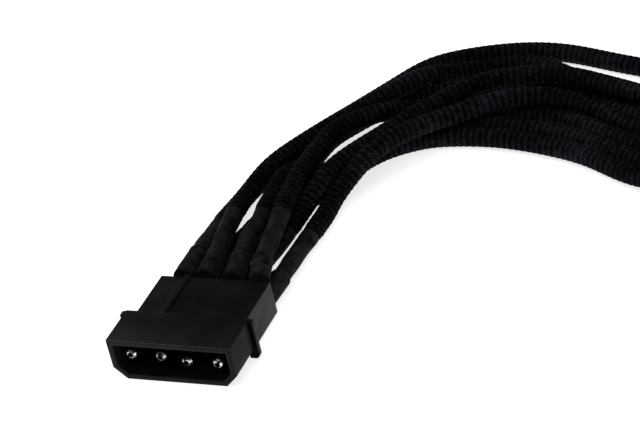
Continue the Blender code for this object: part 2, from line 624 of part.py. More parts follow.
def socket_profile():
    """Tubular socket, a narrow neck through the housing's web, and a round crimp barrel."""
    mouth = SOCKET_RECESS
    tube_end = SOCKET_RECESS + SOCKET_LENGTH
    neck = 0.5 * SOCKET_RADIUS + 0.2 * MM
    pocket = LEAD_RADIUS + LEAD_CLEARANCE
    back = SOCKET_CRIMP_START + CRIMP_SHOULDER
    vent = 0.2 * MM
    return [
        (SOCKET_BORE_RADIUS, mouth),
        (SOCKET_RADIUS - 0.1 * MM, mouth),
        (SOCKET_RADIUS, mouth + 0.3 * MM),
        (SOCKET_RADIUS, tube_end - 0.5 * MM),
        (neck, tube_end),
        (neck, SOCKET_CRIMP_START),
        (SOCKET_CRIMP_RADIUS, SOCKET_CRIMP_START + 0.4 * MM),
        (SOCKET_CRIMP_RADIUS, SOCKET_CRIMP_END),
        (pocket, SOCKET_CRIMP_END),
        (pocket, back),
        (vent, back),
        (vent, tube_end - 0.5 * MM),
        (SOCKET_BORE_RADIUS, tube_end - 1.0 * MM),
    ]


def build_socket_contact(label, number, frame):
    name = f"socket_contact_{label}{number}"
    return turned_object(name, socket_profile(), frame, socket_contact_x(number), TINNED_BRASS)


def build_wire(label, contact_number, pin_frame, far_frame, far_name):
    """One strand from a pin contact to a socket contact, with everything that is on it."""
    upper = label.endswith("upper")
    x = contact_x(contact_number)
    layer_height = UPPER_LAYER_HEIGHT if upper else LOWER_LAYER_HEIGHT
    spread = LEAD_SPREAD if upper else -LEAD_SPREAD
    shrink_start = HOUSING_LENGTH + SHRINK_STANDOFF
    far_shrink_start = SOCKET_HOUSING_LENGTH + SHRINK_STANDOFF
    near_end = pin_frame @ Vector((x, shrink_start, layer_height))
    far_end = far_frame @ Vector((socket_contact_x(contact_number), far_shrink_start, CONTACT_AXIS_HEIGHT))
    route = [tuple(near_end)]
    route += [(px * MM, py * MM, pz * MM) for px, py, pz in ROUTES[label]]
    route.append(tuple(far_end))
    path = smooth_path(route)

    build_shrink(f"pin_end_shrink_{label}", path, from_far_end=False)
    build_shrink(f"socket_end_shrink_{label}", path, from_far_end=True)
    build_sleeved_wire(label, path)

    slot_limit = SLOT_HALF_HEIGHT - LEAD_RADIUS - 0.5 * LEAD_CLEARANCE
    reach = max(-slot_limit, min(slot_limit, layer_height - CONTACT_AXIS_HEIGHT))
    build_lead(f"pin_end_lead_{label}", pin_frame, x, CRIMP_END - LEAD_INSERTION,
               CONTACT_AXIS_HEIGHT + spread, shrink_start - TOUCH_GAP, CONTACT_AXIS_HEIGHT + reach)
    build_lead(f"socket_end_lead_{label}", far_frame, socket_contact_x(contact_number),
               SOCKET_CRIMP_END - LEAD_INSERTION + CRIMP_SHOULDER, CONTACT_AXIS_HEIGHT,
               far_shrink_start - TOUCH_GAP, CONTACT_AXIS_HEIGHT)


def main():
    pin_frame = Matrix.Translation((0.0, -REAR_Y, 0.0))
    build_pin_housing(pin_frame)
    for number in range(1, CONTACT_COUNT + 1):
        build_pin_contact(number, pin_frame)

    frames = {
        "a": socket_frame(SOCKET_A_CENTRE_Y, flipped=False),
        "b": socket_frame(SOCKET_B_CENTRE_Y, flipped=True),
    }
    for label, frame in frames.items():
        build_socket_housing(label, frame)
        for number in range(1, CONTACT_COUNT + 1):
            build_socket_contact(label, number, frame)

    for label, number in SOCKET_A_WIRES.items():
        build_wire(label, number, pin_frame, frames["a"], "a")
    for label, number in SOCKET_B_WIRES.items():
        build_wire(label, number, pin_frame, frames["b"], "b")


main()
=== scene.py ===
import math

import bpy
import numpy as np
from mathutils import Matrix, Vector


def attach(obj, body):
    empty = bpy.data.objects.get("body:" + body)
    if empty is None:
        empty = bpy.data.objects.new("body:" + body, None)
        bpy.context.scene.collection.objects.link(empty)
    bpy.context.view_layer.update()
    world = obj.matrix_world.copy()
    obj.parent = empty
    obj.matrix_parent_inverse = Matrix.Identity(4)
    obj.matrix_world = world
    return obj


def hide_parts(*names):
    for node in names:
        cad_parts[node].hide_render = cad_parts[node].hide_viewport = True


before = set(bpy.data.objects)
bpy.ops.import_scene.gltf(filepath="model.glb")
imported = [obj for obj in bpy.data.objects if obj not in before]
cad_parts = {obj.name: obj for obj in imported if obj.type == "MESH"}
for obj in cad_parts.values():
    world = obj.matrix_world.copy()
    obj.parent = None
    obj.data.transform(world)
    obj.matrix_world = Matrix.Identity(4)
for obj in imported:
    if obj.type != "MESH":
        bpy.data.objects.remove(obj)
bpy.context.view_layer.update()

MM = 0.001


# Pin housing: black nylon, moulded in one shot. A D-shaped shroud with cut lower corners stands
# round the four pins, two grip ears mark its rear edge, and a lower, narrower block behind it
# holds the contacts in four upright bays. A short rib runs along the block's top.
shroud_width = 22.6 * MM
shroud_height = 7.75 * MM
shroud_length = 8.35 * MM
shroud_wall = 1.0 * MM
cut_corner = 2.2 * MM
cavity_depth = 7.6 * MM
housing_length = 19.8 * MM
half_shroud = 0.5 * shroud_width
mouth_y = -0.5 * housing_length
rear_y = mouth_y + shroud_length
back_y = mouth_y + housing_length
contact_height = 4.0 * MM
contact_pitch = 5.08 * MM
contact_numbers = (1, 2, 3, 4)
rear_inset = 1.15 * MM
rear_low_z = 0.5 * MM
rear_top_drop = 1.1 * MM
rear_overlap = 0.2 * MM
ear_reach = 0.8 * MM
ear_start_y = rear_y - 1.1 * MM
ear_end_y = rear_y - 0.1 * MM
ear_low_z = 0.35 * MM
ear_top_drop = 0.1 * MM
ear_low_round = 0.8 * MM
ear_top_round = 0.3 * MM
ear_margin = 0.02 * MM
rib_low_x = -5.55 * MM
rib_high_x = -4.65 * MM
rib_low_z = 6.1 * MM
rib_top = 7.2 * MM
rib_overlap = 0.15 * MM
hole_radius = 1.25 * MM
hole_end_y = mouth_y + 10.3 * MM
bay_half_width = 1.4 * MM
bay_half_height = 2.3 * MM
bay_start_y = mouth_y + 9.8 * MM
soft_corner = 0.12 * MM
overrun = 1.0 * MM
hair = 0.001 * MM


class Value:
    """A socket's output that can be used in a Python expression: each operator adds a Math node."""

    def __init__(self, tree, socket):
        self.tree = tree
        self.socket = socket

    def math(self, operation, other=None, swapped=False):
        node = self.tree.nodes.new('ShaderNodeMath')
        node.operation = operation
        sides = [self] if other is None else [self, other]
        for place, side in enumerate(reversed(sides) if swapped else sides):
            if isinstance(side, Value):
                self.tree.links.new(side.socket, node.inputs[place])
            else:
                node.inputs[place].default_value = side
        return Value(self.tree, node.outputs[0])

    def __add__(self, other):
        return self.math('ADD', other)

    def __radd__(self, other):
        return self.math('ADD', other)

    def __sub__(self, other):
        return self.math('SUBTRACT', other)

    def __rsub__(self, other):
        return self.math('SUBTRACT', other, swapped=True)

    def __mul__(self, other):
        return self.math('MULTIPLY', other)

    def __rmul__(self, other):
        return self.math('MULTIPLY', other)

    def sine(self):
        return self.math('SINE')

    def size(self):
        return self.math('ABSOLUTE')

    def above(self, limit):
        return self.math('GREATER_THAN', limit)


class Finish:
    """A material under construction, with one Principled shader."""

    def __init__(self, name, **settings):
        self.material = bpy.data.materials.new(name)
        self.material.use_nodes = True
        self.tree = self.material.node_tree
        self.shader = self.tree.nodes["Principled BSDF"]
        for socket, value in settings.items():
            self.shader.inputs[socket.replace('_', ' ')].default_value = value

    def node(self, kind, settings=None, output=0, **values):
        """Add a shader node, with its own settings, and with numbers or links on its sockets."""
        node = self.tree.nodes.new('ShaderNode' + kind)
        for key, value in (settings or {}).items():
            setattr(node, key, value)
        for key, value in values.items():
            if isinstance(value, Value):
                self.tree.links.new(value.socket, node.inputs[key])
            else:
                node.inputs[key].default_value = value
        return Value(self.tree, node.outputs[output])

    def noise(self, scale, detail=3.0, roughness=0.5):
        """Noise over the piece's own place, with its scale in cells per metre."""
        object_place = self.node('TexCoord', output=3)
        return self.node('TexNoise', Vector=object_place, Scale=scale, Detail=detail, Roughness=roughness)

    def feed(self, socket, value):
        self.tree.links.new(value.socket, self.shader.inputs[socket])

    def shade(self, value, *stops):
        """Let the base colour follow a value, through stops of a position and a colour."""
        tint = self.node('ValToRGB', Fac=value)
        ramp = tint.socket.node.color_ramp
        while len(ramp.elements) < len(stops):
            ramp.elements.new(1.0)
        for element, (position, colour) in zip(ramp.elements, stops):
            element.position = position
            element.color = (*colour, 1.0)
        self.feed('Base Color', tint)

    def bump(self, height, distance, strength=1.0):
        self.feed('Normal', self.node('Bump', Height=height, Distance=distance, Strength=strength))


def select_only(piece):
    bpy.ops.object.select_all(action='DESELECT')
    piece.select_set(True)
    bpy.context.view_layer.objects.active = piece


def block(name, low, high):
    """A cube stretched between two corners."""
    size = [b - a for a, b in zip(low, high)]
    centre = [0.5 * (a + b) for a, b in zip(low, high)]
    bpy.ops.object.select_all(action='DESELECT')
    bpy.ops.mesh.primitive_cube_add(size=1.0, location=centre)
    piece = bpy.context.object
    piece.name = name
    piece.scale = size
    bpy.ops.object.transform_apply(location=True, rotation=True, scale=True)
    return piece


def rod(name, radius, start_y, end_y, x, z, sides=32):
    """A cylinder along Y."""
    bpy.ops.object.select_all(action='DESELECT')
    bpy.ops.mesh.primitive_cylinder_add(vertices=sides, radius=radius, depth=end_y - start_y,
                                        location=(x, 0.5 * (start_y + end_y), z),
                                        rotation=(math.pi / 2, 0.0, 0.0))
    piece = bpy.context.object
    piece.name = name
    bpy.ops.object.transform_apply(location=True, rotation=True, scale=True)
    return piece


def start_picking(piece, kind):
    """Deselect all of a mesh, and set whether points, edges or faces are picked."""
    select_only(piece)
    bpy.ops.object.mode_set(mode='EDIT')
    bpy.ops.mesh.select_mode(type=kind)
    bpy.ops.mesh.select_all(action='DESELECT')
    bpy.ops.object.mode_set(mode='OBJECT')


def pick_points(piece, wanted):
    """Select, in edit mode, the points whose place passes the test."""
    start_picking(piece, 'VERT')
    for point in piece.data.vertices:
        point.select = wanted(point.co)
    bpy.ops.object.mode_set(mode='EDIT')


def pick_edges(piece, wanted):
    """Select, in edit mode, the edges whose two ends pass the test."""
    start_picking(piece, 'EDGE')
    mesh = piece.data
    for edge in mesh.edges:
        a, b = (mesh.vertices[i].co for i in edge.vertices)
        edge.select = wanted(a, b)
    bpy.ops.object.mode_set(mode='EDIT')


def pick_faces(piece, wanted):
    """Select, in edit mode, the faces whose centre and normal pass the test."""
    start_picking(piece, 'FACE')
    for face in piece.data.polygons:
        face.select = wanted(face.center, face.normal)
    bpy.ops.object.mode_set(mode='EDIT')


def leave_edit():
    bpy.ops.object.mode_set(mode='OBJECT')


def combine(piece, other, operation):
    """Join a second solid on, or cut it away, and drop it."""
    select_only(piece)
    modifier = piece.modifiers.new(operation, 'BOOLEAN')
    modifier.operation = operation
    modifier.solver = 'EXACT'
    modifier.object = other
    bpy.ops.object.modifier_apply(modifier=modifier.name)
    bpy.data.objects.remove(other, do_unlink=True)


def soften(piece, width, segments=2, angle=32.0):
    """Round off a moulding's edges by a small radius and shade it smooth."""
    select_only(piece)
    modifier = piece.modifiers.new("soft_edges", 'BEVEL')
    modifier.width = width
    modifier.segments = segments
    modifier.limit_method = 'ANGLE'
    modifier.angle_limit = math.radians(angle)
    modifier.use_clamp_overlap = True
    modifier.miter_outer = 'MITER_ARC'
    bpy.ops.object.modifier_apply(modifier=modifier.name)
    bpy.ops.object.shade_smooth_by_angle(angle=math.radians(35.0))


def keyed_block(name, low, high, corner):
    """A block whose two lower long edges are cut off at about 45 degrees."""
    piece = block(name, low, high)
    pick_edges(piece, lambda a, b: abs(a.z - low[2]) < hair and abs(b.z - low[2]) < hair
               and abs(a.x - b.x) < hair)
    bpy.ops.mesh.bevel(offset=corner, segments=1, affect='EDGES')
    leave_edit()
    return piece


def upright_slot(name, half_width, half_height, start_y, end_y, x, z):
    """A cylinder along Y pulled apart upwards and downwards into a slot with round ends."""
    piece = rod(name, half_width, start_y, end_y, x, z)
    for side in (-1.0, 1.0):
        pick_points(piece, lambda place: side * (place.z - z) > hair)
        bpy.ops.transform.translate(value=(0.0, 0.0, side * (half_height - half_width)))
        leave_edit()
    return piece


def contact_x(number):
    """Sideways place of a contact, with the row of four centred on the housing."""
    return (number - 2.5) * contact_pitch


nylon = Finish("black_nylon", Specular_IOR_Level=0.08, Specular_Tint=(0.80, 0.98, 1.0, 1.0))
flow = nylon.noise(scale=180.0, detail=4.0)
grain = nylon.noise(scale=9000.0, detail=2.0)
nylon.shade(flow, (0.36, (0.0030, 0.0036, 0.0048)), (0.64, (0.0082, 0.0094, 0.0120)))
nylon.feed('Roughness', 0.38 + 0.10 * flow + 0.05 * grain)
nylon.bump(grain, 0.012 * MM, 0.6)

# Painted highlight: a lighter colour, broken up by noise, for the top edges of the rib and of the front
# rim.
edge_painted_highlight = Finish("nylon_edge_painted_highlight", Roughness=0.4, Specular_IOR_Level=0.2)
highlight_breakup = edge_painted_highlight.noise(scale=2200.0, detail=2.0)
edge_painted_highlight.shade(highlight_breakup, (0.4, (0.012, 0.015, 0.018)), (0.6, (0.075, 0.085, 0.092)))
# Painted shade: a near-black, matt nylon for the ears' front faces.
ear_front_painted_shade = Finish("nylon_painted_shade", Base_Color=(0.0008, 0.0010, 0.0012, 1.0), Roughness=0.7,
              Specular_IOR_Level=0.03)

housing = keyed_block("pin_housing_shell", (-half_shroud, mouth_y, 0.0),
                      (half_shroud, rear_y, shroud_height), cut_corner)
pick_faces(housing, lambda centre, normal: normal.y < -0.9)
bpy.ops.mesh.inset(thickness=shroud_wall)
bpy.ops.mesh.extrude_region_move(TRANSFORM_OT_translate={"value": (0.0, cavity_depth, 0.0)})
leave_edit()

rear_half = half_shroud - rear_inset
rear_block = block("rear_block", (-rear_half, rear_y - rear_overlap, rear_low_z),
                   (rear_half, back_y, shroud_height - rear_top_drop))
combine(housing, rear_block, 'UNION')

for side in (-1.0, 1.0):
    inner_x = side * (half_shroud - shroud_wall)
    outer_x = side * (half_shroud + ear_reach)
    ear = block("ear", (min(inner_x, outer_x), ear_start_y, ear_low_z),
                (max(inner_x, outer_x), ear_end_y, shroud_height - ear_top_drop))
    for upper, radius, segments in ((False, ear_low_round, 5), (True, ear_top_round, 2)):
        pick_edges(ear, lambda a, b: abs(a.x - outer_x) < hair and abs(b.x - outer_x) < hair
                   and abs(a.z - b.z) < hair and (a.z > contact_height) == upper)
        bpy.ops.mesh.bevel(offset=radius, segments=segments, affect='EDGES')
        leave_edit()
    combine(housing, ear, 'UNION')

rib = block("rib", (rib_low_x, rear_y - rib_overlap, rib_low_z), (rib_high_x, back_y, rib_top))
combine(housing, rib, 'UNION')

for number in contact_numbers:
    x = contact_x(number)
    hole = rod("hole", hole_radius, mouth_y + cavity_depth - overrun, hole_end_y, x, contact_height)
    combine(housing, hole, 'DIFFERENCE')
    bay = upright_slot("bay", bay_half_width, bay_half_height, bay_start_y, back_y + overrun,
                       x, contact_height)
    combine(housing, bay, 'DIFFERENCE')

# The top edges of the rib and of the front rim get a painted highlight, and the ears' front faces get
# painted shade.
soften(housing, soft_corner)
housing.data.materials.clear()
for finish in (nylon, edge_painted_highlight, ear_front_painted_shade):
    housing.data.materials.append(finish.material)
for face in housing.data.polygons:
    place = face.center
    normal = face.normal
    on_rib = rib_low_x < place.x < rib_high_x and place.z > rib_top - soft_corner
    on_rim = place.z > shroud_height - soft_corner and place.y < mouth_y + soft_corner
    on_edge = 0.2 < normal.z < 0.98 and abs(normal.x) + abs(normal.y) > 0.2
    if (on_rib or on_rim) and on_edge:
        face.material_index = 1
    elif abs(place.x) > half_shroud + ear_margin and normal.y < -0.5:
        face.material_index = 2
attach(housing, "root")
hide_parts("pin_housing")


# Pin contacts: brass strip, rolled into a tube with a rounded tip and a seam along it, then tin
# plated. Behind the housing's web each one widens into a crimp barrel round two wires. They sit
# loosely in the web, so each one leans its own way and has its seam turned.
pin_radius = 1.05 * MM
pin_end_y = mouth_y + 10.8 * MM
tip_y = mouth_y + 1.0 * MM
tip_round = 0.70 * MM
bore_radius = 0.50 * MM
bore_end_y = mouth_y + 8.0 * MM
seam_half_width = 0.13 * MM
seam_end_y = mouth_y + cavity_depth - 0.4 * MM
seam_cut_height = 3.0 * MM
web_y = mouth_y + cavity_depth + 1.3 * MM
barrel_half_width = 1.2 * MM
barrel_half_height = 2.1 * MM
barrel_start_y = hole_end_y
barrel_end_y = mouth_y + 14.3 * MM
pocket_half_width = 0.95 * MM
pocket_half_height = 1.85 * MM
pocket_start_y = mouth_y + 11.3 * MM
pocket_end_y = mouth_y + 15.0 * MM
pin_soft_corner = 0.04 * MM

# Turns of the seams in degrees, and shifts of the tips in millimetres to the right and upwards.
seam_turns = {1: 50.0, 2: 0.0, 3: -20.0, 4: 40.0}
tip_leans = {1: (-0.45, 0.15), 2: (0.0, 0.10), 3: (-0.50, -0.60), 4: (0.05, -0.55)}

tin = Finish("tin_plate", Metallic=1.0)
drawn = tin.noise(scale=2600.0)
# Painted glints and painted shade: noise sets the tin's base colour in dark and bright patches.
painted_glint_patches = tin.noise(scale=1500.0, detail=2.0)
tin.shade(painted_glint_patches, (0.44, (0.03, 0.03, 0.03)), (0.60, (0.80, 0.79, 0.76)))
tin.feed('Roughness', 0.14 + 0.16 * drawn)
tin.bump(drawn, 0.01 * MM, 0.5)

for number in contact_numbers:
    x = contact_x(number)
    pin = rod("pin_%d" % number, pin_radius, tip_y, pin_end_y, x, contact_height, sides=40)
    pick_edges(pin, lambda a, b: a.y < tip_y + hair and b.y < tip_y + hair)
    bpy.ops.mesh.bevel(offset=tip_round, segments=6, affect='EDGES')
    leave_edit()
    bore = rod("pin_bore", bore_radius, tip_y - overrun, bore_end_y, x, contact_height, sides=24)
    combine(pin, bore, 'DIFFERENCE')
    seam = block("seam", (x - seam_half_width, tip_y - overrun, contact_height),
                 (x + seam_half_width, seam_end_y, contact_height + seam_cut_height))
    combine(pin, seam, 'DIFFERENCE')
    centre = Vector((x, 0.0, contact_height))
    turn = Matrix.Rotation(math.radians(seam_turns[number]), 4, 'Y')
    lean_x, lean_z = (shift * MM / (web_y - tip_y) for shift in tip_leans[number])
    lean = Matrix(((1.0, -lean_x, 0.0, lean_x * web_y), (0.0, 1.0, 0.0, 0.0),
                   (0.0, -lean_z, 1.0, lean_z * web_y), (0.0, 0.0, 0.0, 1.0)))
    pin.data.transform(lean @ Matrix.Translation(centre) @ turn @ Matrix.Translation(-centre))
    barrel = upright_slot("barrel", barrel_half_width, barrel_half_height, barrel_start_y, barrel_end_y,
                          x, contact_height)
    combine(pin, barrel, 'UNION')
    pocket = upright_slot("pocket", pocket_half_width, pocket_half_height, pocket_start_y, pocket_end_y,
                          x, contact_height)
    combine(pin, pocket, 'DIFFERENCE')
    soften(pin, pin_soft_corner, angle=40.0)
    pin.data.materials.clear()
    pin.data.materials.append(tin.material)
    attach(pin, "root")
    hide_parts("pin_contact_%d" % number)


# Sleeved wires: stranded copper in thin insulation, each in its own tight braid of fine black
# yarn. They leave the pin housing in two layers of four, come down to the table and bend round
# to the right together, passing over each other in low humps.
sleeve_radius = 1.70 * MM
yarn_pairs = 14
ring_sides = 56
yarn_step = 2.0 * math.pi * sleeve_radius / yarn_pairs
rows_per_yarn = 4
ring_step = yarn_step / rows_per_yarn
yarn_relief = 0.22 * MM
rib_spacing = 1.25 * MM
rib_relief = 0.035 * MM
sleeve_inset = 17.0 * MM
taper_start = 18.9 * MM
taper_length = 2.4 * MM
pinched_radius = 1.44 * MM
relief_below = 0.65
weave_shift = 0.25
fibre_rate = 23.0
line_gap = 0.8 * MM
side_steps = {"1_upper": 1.0 * MM}
layer_height = {"upper": 5.8 * MM, "lower": 1.95 * MM}
socket_rear_x = 128.0 * MM
socket_length = 20.0 * MM
socket_centre_y = {"a": 72.0 * MM, "b": 42.0 * MM}
socket_axis_height = {"a": contact_height, "b": shroud_height - contact_height}

routes = {
    "1_upper": [
        (-6.6, 16.4, 5.9), (-7.3, 20.9, 5.2), (-8.0, 26.1, 4.0), (-8.7, 31.6, 2.8),
        (-8.9, 36.5, 2.0), (-7.9, 44.5, 1.8), (-5.1, 55.0, 1.7), (-1.6, 64.0, 1.7),
        (1.3, 69.4, 1.7), (4.4, 75.0, 1.7), (7.2, 80.1, 1.7), (11.2, 86.4, 1.7),
        (16.5, 89.9, 1.7), (22.4, 91.9, 1.7), (28.6, 93.0, 1.7), (36.8, 92.6, 1.7),
        (45.4, 90.2, 1.7), (52.0, 88.3, 1.7), (70.7, 83.5, 1.8), (90.5, 80.5, 1.8),
        (107.0, 79.6, 3.2),
    ],
    "2_upper": [
        (-3.3, 17.7, 5.9), (-4.4, 24.9, 6.0), (-5.0, 29.0, 5.8), (-5.6, 33.5, 5.5),
        (-5.5, 37.8, 5.3), (-4.6, 45.0, 5.5), (-1.9, 52.2, 5.5), (1.8, 59.8, 5.3),
        (5.7, 65.9, 5.4), (10.5, 72.1, 5.8), (14.0, 78.1, 5.0), (17.0, 82.5, 3.0),
        (21.5, 85.8, 2.0), (27.7, 87.8, 1.8), (32.9, 87.8, 1.8), (36.9, 86.2, 1.7),
        (41.5, 83.3, 1.7), (46.1, 80.4, 1.7), (50.7, 78.0, 1.7), (55.7, 75.8, 1.7),
        (73.1, 73.1, 1.8), (91.6, 73.9, 1.8), (107.0, 74.5, 3.2),
    ],
    "3_upper": [
        (1.6, 16.7, 5.8), (0.7, 23.1, 6.1), (0.7, 27.9, 6.0), (0.1, 31.8, 5.8),
        (-0.3, 36.2, 5.6), (-1.1, 43.5, 4.9), (-0.5, 52.5, 1.8), (0.5, 59.8, 1.7),
        (3.4, 65.9, 1.7), (6.5, 70.5, 1.7), (10.7, 74.5, 1.7), (16.5, 77.8, 1.7),
        (23.6, 78.7, 1.7), (30.7, 78.4, 1.7), (40.4, 78.3, 1.7), (48.3, 75.2, 1.7),
        (56.7, 71.4, 1.7), (73.8, 68.6, 1.8), (91.9, 68.9, 1.8), (107.0, 69.5, 3.2),
    ],
    "4_upper": [
        (5.7, 17.3, 5.9), (5.0, 23.2, 6.3), (4.0, 30.0, 6.5), (2.9, 38.0, 6.4),
        (2.5, 45.8, 6.2), (3.1, 50.9, 6.4), (3.8, 55.0, 6.5), (5.2, 58.5, 6.3),
        (6.9, 61.6, 5.8), (10.0, 65.0, 5.2), (13.7, 69.2, 3.3), (18.8, 71.9, 1.9),
        (25.7, 72.1, 1.7), (32.8, 71.5, 1.7), (42.8, 70.1, 1.7), (50.7, 66.2, 1.7),
        (59.0, 62.3, 1.7), (75.3, 56.8, 1.8), (92.6, 51.5, 1.8), (107.0, 49.6, 3.2),
    ],
    "1_lower": [
        (-6.2, 19.3, 1.9), (-4.0, 27.7, 1.7), (-2.0, 35.9, 1.7), (0.8, 44.2, 1.7),
        (4.5, 51.2, 1.7), (8.4, 58.7, 1.7), (13.9, 63.9, 1.7), (19.8, 66.8, 1.7),
        (27.3, 67.5, 1.7), (34.3, 66.6, 1.7), (44.2, 64.7, 1.7), (52.1, 61.3, 1.7),
        (60.2, 57.5, 1.7), (76.1, 49.4, 1.7), (93.0, 38.6, 1.9), (107.0, 34.4, 3.2),
    ],
    "2_lower": [
        (-1.8, 19.3, 2.0), (0.0, 27.8, 1.8), (1.9, 35.9, 1.7), (5.0, 43.5, 1.7),
        (8.2, 50.7, 1.7), (12.2, 57.3, 1.7), (17.9, 61.3, 1.7), (22.1, 62.6, 1.7),
        (29.0, 63.1, 1.7), (36.3, 62.3, 1.8), (46.1, 59.8, 1.8), (53.0, 56.6, 1.9),
        (61.5, 51.9, 2.1), (77.0, 46.4, 4.6), (93.3, 41.2, 5.7), (107.0, 39.5, 3.2),
    ],
    "3_lower": [
        (3.2, 20.3, 2.2), (4.0, 26.1, 2.3), (4.7, 33.0, 2.9), (5.9, 38.5, 4.2),
        (6.9, 44.0, 5.2), (8.8, 49.7, 5.4), (12.1, 55.7, 5.5), (15.3, 61.7, 5.4),
        (20.0, 68.4, 5.6), (25.4, 74.8, 5.6), (31.5, 77.9, 5.5), (40.7, 78.8, 5.4),
        (48.4, 76.5, 5.4), (56.5, 73.3, 5.4), (73.7, 63.4, 5.6), (91.8, 49.8, 5.2),
        (107.0, 44.5, 3.2),
    ],
    "4_lower": [
        (8.1, 19.9, 2.0), (8.2, 26.6, 1.8), (8.5, 30.4, 1.8), (8.6, 33.9, 1.7),
        (8.7, 37.5, 1.7), (9.0, 40.8, 2.4), (9.8, 43.6, 3.3), (11.0, 46.4, 4.4),
        (13.3, 50.8, 5.8), (16.6, 56.3, 6.1), (21.2, 61.6, 5.8), (25.3, 65.3, 5.5),
        (29.6, 68.3, 5.7), (34.4, 70.8, 5.7), (43.0, 72.3, 4.3), (50.4, 70.2, 2.9),
        (58.2, 66.8, 2.1), (74.8, 63.9, 1.9), (92.3, 64.0, 1.8), (107.0, 64.4, 3.2),
    ],
}
socket_of = {"1_upper": "a", "2_upper": "a", "3_upper": "a", "4_lower": "a",
             "1_lower": "b", "2_lower": "b", "3_lower": "b", "4_upper": "b"}


def socket_contact_y(socket, number):
    """Sideways place of a socket's contact; the second socket lies upside down."""
    turn = 1.0 if socket == "a" else -1.0
    return socket_centre_y[socket] - turn * contact_x(number)


def smooth_line(points, samples=600):
    """Natural cubic spline through given points, sampled densely, with its running length."""
    points = np.array(points, dtype=float)
    chords = np.linalg.norm(np.diff(points, axis=0), axis=1)
    knots = np.concatenate(([0.0], np.cumsum(np.sqrt(chords))))
    spans = np.diff(knots)
    count = len(points)
    system = np.eye(count)
    slopes = np.zeros((count, 3))
    for i in range(1, count - 1):
        system[i, i - 1] = spans[i - 1]
        system[i, i] = 2.0 * (spans[i - 1] + spans[i])
        system[i, i + 1] = spans[i]
        rise = (points[i + 1] - points[i]) / spans[i] - (points[i] - points[i - 1]) / spans[i - 1]
        slopes[i] = 6.0 * rise
    curvature = np.linalg.solve(system, slopes)
    dense = []
    for t in np.linspace(0.0, knots[-1], samples):
        i = min(int(np.searchsorted(knots, t, side='right')) - 1, count - 2)
        h = spans[i]
        a = (knots[i + 1] - t) / h
        b = (t - knots[i]) / h
        bend = ((a ** 3 - a) * curvature[i] + (b ** 3 - b) * curvature[i + 1]) * h * h / 6.0
        dense.append(a * points[i] + b * points[i + 1] + bend)
    dense = np.array(dense)
    lengths = np.concatenate(([0.0], np.cumsum(np.linalg.norm(np.diff(dense, axis=0), axis=1))))
    return dense, lengths


def places_on(line, distances):
    dense, lengths = line
    return np.stack([np.interp(distances, lengths, dense[:, axis]) for axis in range(3)], axis=1)


def swept_skin(name, line, distances, radii, sides):
    """A closed round skin along part of a line, with a row of radii for each ring.

    Its map counts turns across and metres along.
    """
    look = 0.4 * MM
    centres = places_on(line, distances)
    ahead = places_on(line, np.asarray(distances) + look)
    behind = places_on(line, np.asarray(distances) - look)
    tangents = ahead - behind
    tangents /= np.linalg.norm(tangents, axis=1, keepdims=True)
    side = np.cross(tangents[0], (0.0, 0.0, 1.0))
    side /= np.linalg.norm(side)
    angles = 2.0 * math.pi * np.arange(sides) / sides
    rings = []
    for centre, tangent, radius in zip(centres, tangents, radii):
        side = side - tangent * float(side @ tangent)
        side /= np.linalg.norm(side)
        up = np.cross(side, tangent)
        ring = np.outer(np.cos(angles), side) + np.outer(np.sin(angles), up)
        rings.append(centre + ring * np.reshape(radius, (-1, 1)))
    vertices = np.concatenate(rings)
    last = len(rings) - 1
    faces = []
    for row in range(last):
        for k in range(sides):
            after = (k + 1) % sides
            faces.append((row * sides + k, row * sides + after,
                          (row + 1) * sides + after, (row + 1) * sides + k))
    faces.append(tuple(reversed(range(sides))))
    faces.append(tuple(last * sides + k for k in range(sides)))
    mesh = bpy.data.meshes.new(name)
    mesh.from_pydata(vertices.tolist(), [], faces)
    layer = mesh.uv_layers.new(name="around_and_along")
    corners = np.zeros((len(mesh.loops), 2))
    across = np.arange(sides) / sides
    row_of = np.repeat(np.arange(last), sides)
    u_low = np.tile(across, last)
    u_high = np.tile(across + 1.0 / sides, last)
    v_low = np.asarray(distances)[row_of]
    v_high = np.asarray(distances)[row_of + 1]
    quads = np.stack([np.stack([u_low, v_low], 1), np.stack([u_high, v_low], 1),
                      np.stack([u_high, v_high], 1), np.stack([u_low, v_high], 1)], axis=1)
    corners[:last * sides * 4] = quads.reshape(-1, 2)
    layer.data.foreach_set("uv", corners.ravel())
    mesh.update()
    piece = bpy.data.objects.new(name, mesh)
    bpy.context.scene.collection.objects.link(piece)
    select_only(piece)
    bpy.ops.object.mode_set(mode='EDIT')
    bpy.ops.mesh.select_all(action='SELECT')
    bpy.ops.mesh.normals_make_consistent(inside=False)
    leave_edit()
    bpy.ops.object.shade_smooth()
    return piece


def braid_height(around, along):
    """Relief of a one-over-one-under braid, both arguments counted in yarns."""
    right = around + along
    left = around - along
    right_yarn = np.sqrt(np.abs(np.sin(np.pi * right)))
    left_yarn = np.sqrt(np.abs(np.sin(np.pi * left)))
    weave = np.cos(np.pi * (np.floor(right) + np.floor(left)))
    right_height = right_yarn * (0.5 + 0.5 * weave)
    left_height = left_yarn * (0.5 - 0.5 * weave)
    return np.maximum(right_height, left_height)


